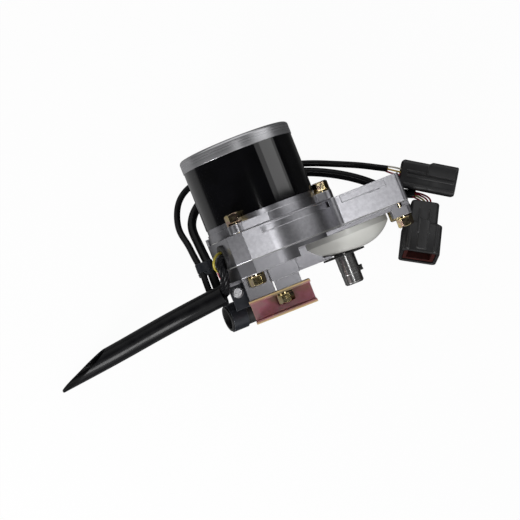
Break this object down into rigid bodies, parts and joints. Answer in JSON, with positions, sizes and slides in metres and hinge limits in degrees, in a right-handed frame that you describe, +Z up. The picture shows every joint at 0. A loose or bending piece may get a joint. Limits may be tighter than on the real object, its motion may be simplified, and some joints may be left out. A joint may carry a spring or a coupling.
{
  "type": "engine governor actuator",
  "caption": "Geared stepping-motor actuator that turns an engine's fuel lever: round motor, cast gear case, output shaft with cross pin, channel bracket and wired connectors.",
  "frame": {"origin": "on the output shaft's axis, at the shoulder of its free end, where a lever's hub seats", "axes": "+Y along the motor's axis from the output shaft's free end towards the motor's end cap, +X along the gear case from the motor to the far end, +Z up from the flat back that the actuator lies on"},
  "size_m": [0.322, 0.1321, 0.0963],
  "materials": {
    "cast_aluminium": "fine as-cast grey",
    "cap_aluminium": "turned satin",
    "black_paint": "gloss black",
    "pale_paint": "smooth pale warm grey",
    "steel": "ground",
    "dark_steel": "oiled dark",
    "lamination": "stacked sheet",
    "copper": "enamelled wire",
    "bronze": "sintered",
    "gear_steel": "cut teeth",
    "yellow_zinc": "yellow passivated zinc",
    "pink_zinc": "iridescent passivated zinc",
    "bright_zinc": "bright zinc",
    "gasket_paper": "paper",
    "rubber": "black moulded",
    "strap": "blue-grey coated",
    "cable_black": "black jacket",
    "wire_yellow": "yellow insulation",
    "wire_red": "red insulation",
    "wire_mixed": "coloured insulation",
    "plug_black": "matt dark grey",
    "plug_core": "black moulded",
    "seal_red": "red-orange",
    "nylon": "natural",
    "track": "resistive film"
  },
  "bodies": {
    "housing": {"motor_cap": "cap_aluminium", "motor_tube": "black_paint", "motor_flange": "cast_aluminium", "flange_gasket": "gasket_paper", "stator_stack": "lamination", "stator_coils": "copper", "rear_bearing": "steel", "front_bearing": "steel", "preload_washer": "steel", "motor_bolts": "yellow_zinc", "gear_case": "cast_aluminium", "cable_grommet": "rubber", "case_gasket": "gasket_paper", "lower_cover": "cast_aluminium", "cover_bolts": "yellow_zinc", "bolt_washers": "yellow_zinc", "idler_axle": "steel", "idler_washers": "steel", "neck_bush": "bronze", "ball_bearing": "steel", "shaft_seal": "rubber", "dust_cover": "pale_paint", "sensor_body": "plug_core", "sensor_screws": "bright_zinc", "sensor_track": "track", "channel_bracket": "pink_zinc", "bracket_bolt": "yellow_zinc", "clip_strap": "strap", "clip_cushion": "rubber", "clip_screw": "bright_zinc", "bundle_band": "strap", "motor_cable": "cable_black", "sensor_cable": "cable_black", "harness_sleeve": "cable_black", "lead_bundle": "cable_black", "yellow_lead": "wire_yellow", "red_lead": "wire_red", "sensor_leads": "wire_mixed", "motor_leads": "wire_red", "sensor_plug": "plug_black", "sensor_plug_core": "plug_core", "sensor_plug_seal": "seal_red", "motor_plug": "plug_black", "motor_plug_core": "plug_core", "motor_plug_seal": "seal_red"},
    "output": {"output_shaft": "steel", "output_wheel": "gear_steel", "drive_key": "steel", "shaft_clip": "dark_steel", "cross_pin": "dark_steel", "dust_slinger": "dark_steel"},
    "idler": {"idler_wheel": "gear_steel", "idler_bush": "bronze"},
    "rotor": {"rotor": "lamination", "motor_shaft": "steel", "pinion": "gear_steel"},
    "sensor": {"sensor_shaft": "steel", "sensor_wheel": "nylon", "sensor_wiper": "bronze"}
  },
  "joints": [
    {"name": "output_turn", "type": "hinge", "parent": "housing", "child": "output", "pos_m": [0, 0, 0], "axis": [0, 1, 0], "range_deg": [-45, 45]},
    {"name": "idler_turn", "type": "hinge", "parent": "housing", "child": "idler", "pos_m": [-0.0224, 0, 0.0168], "axis": [0, 1, 0], "range_deg": [-181, 181]},
    {"name": "rotor_turn", "type": "hinge", "parent": "housing", "child": "rotor", "pos_m": [-0.044, 0, 0.0168], "axis": [0, 1, 0], "range_deg": [-516, 516]},
    {"name": "sensor_turn", "type": "hinge", "parent": "housing", "child": "sensor", "pos_m": [0.0336, 0, 0], "axis": [0, 1, 0], "range_deg": [-91, 91]}
  ],
  "couplings": [
    {"joint": "idler_turn", "follows": "output_turn", "ratio": -4},
    {"joint": "rotor_turn", "follows": "output_turn", "ratio": 11.429},
    {"joint": "sensor_turn", "follows": "output_turn", "ratio": -2}
  ]
}
